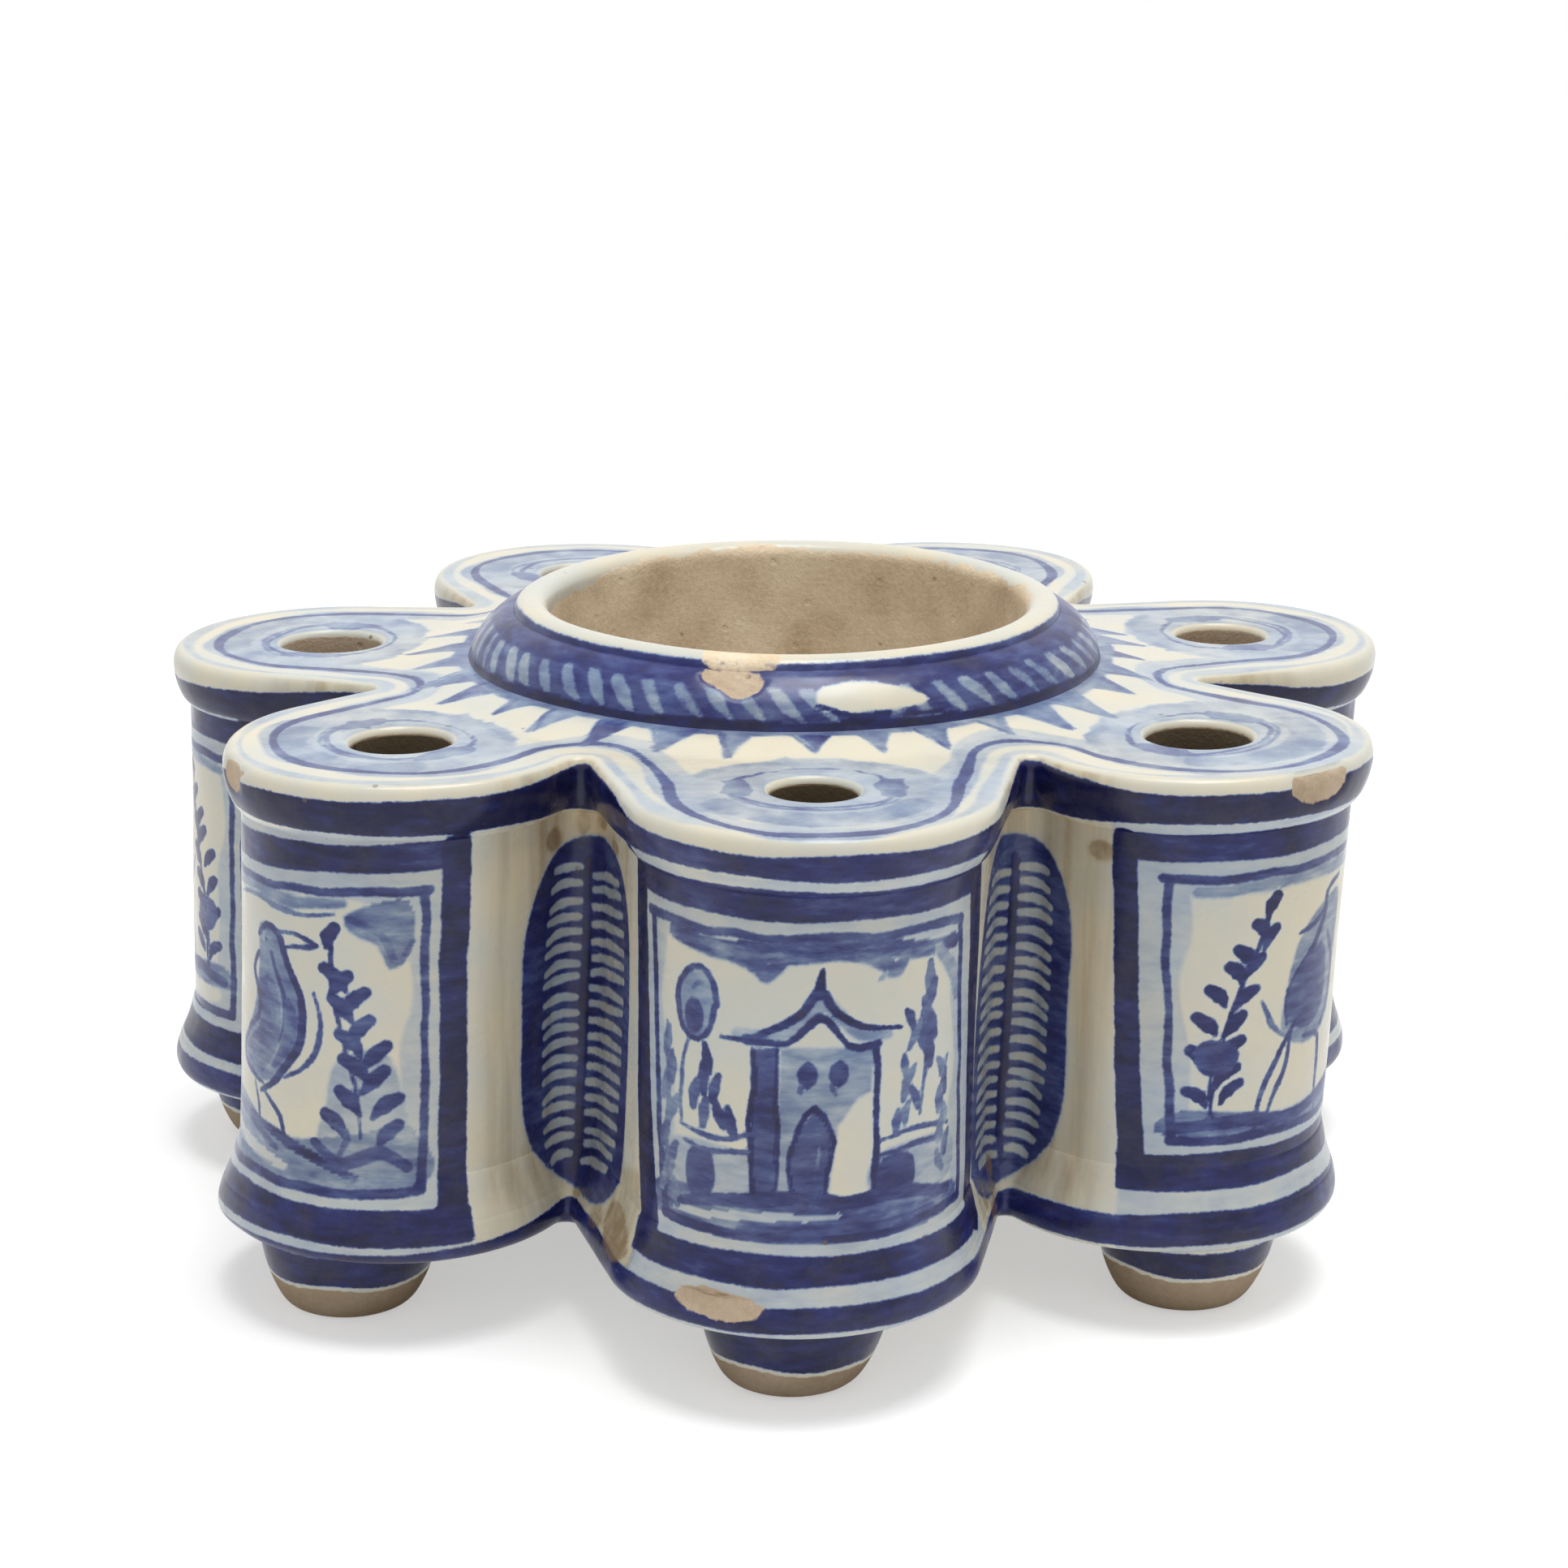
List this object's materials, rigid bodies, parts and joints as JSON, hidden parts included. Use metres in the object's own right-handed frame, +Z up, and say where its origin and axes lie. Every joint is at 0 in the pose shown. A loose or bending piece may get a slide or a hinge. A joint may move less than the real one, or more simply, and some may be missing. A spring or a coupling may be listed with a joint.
{
  "type": "inkwell",
  "caption": "Lobed tin-glazed earthenware inkwell painted in blue, on bun feet, with a quill hole in each lobe round a central well that holds a loose ink cup.",
  "frame": {"origin": "on the surface the feet stand on, below the middle of the body's bounding box", "axes": "+Z up; -Y towards lobe 1, which carries the tower picture; +X to the right of someone facing it"},
  "size_m": [0.1724, 0.1676, 0.083],
  "materials": {
    "painted_glaze": "glossy tin glaze over buff clay, painted by hand in cobalt blue",
    "biscuit_clay": "bare fired clay inside, rough and speckled",
    "plain_glaze": "plain glossy tin glaze"
  },
  "bodies": {
    "stand": {"floor_slab": "painted_glaze", "base_cove": "painted_glaze", "top_slab": "painted_glaze", "ink_well": "biscuit_clay", "rope_collar": "painted_glaze", "lobe_wall_1": "painted_glaze", "lobe_wall_2": "painted_glaze", "lobe_wall_3": "painted_glaze", "lobe_wall_4": "painted_glaze", "lobe_wall_5": "painted_glaze", "lobe_wall_6": "painted_glaze", "lobe_wall_7": "painted_glaze", "groove_panel_1": "painted_glaze", "groove_panel_2": "painted_glaze", "groove_panel_3": "painted_glaze", "groove_panel_4": "painted_glaze", "groove_panel_5": "painted_glaze", "groove_panel_6": "painted_glaze", "groove_panel_7": "painted_glaze", "foot_1": "painted_glaze", "foot_2": "painted_glaze", "foot_3": "painted_glaze", "foot_4": "painted_glaze", "foot_5": "painted_glaze", "foot_6": "painted_glaze", "foot_7": "painted_glaze"},
    "ink_cup": {"ink_cup": "plain_glaze"}
  },
  "joints": [
    {"name": "ink_cup_lift", "type": "slide", "parent": "stand", "child": "ink_cup", "axis": [0, 0, 1], "range_m": [0, 0.07]}
  ]
}
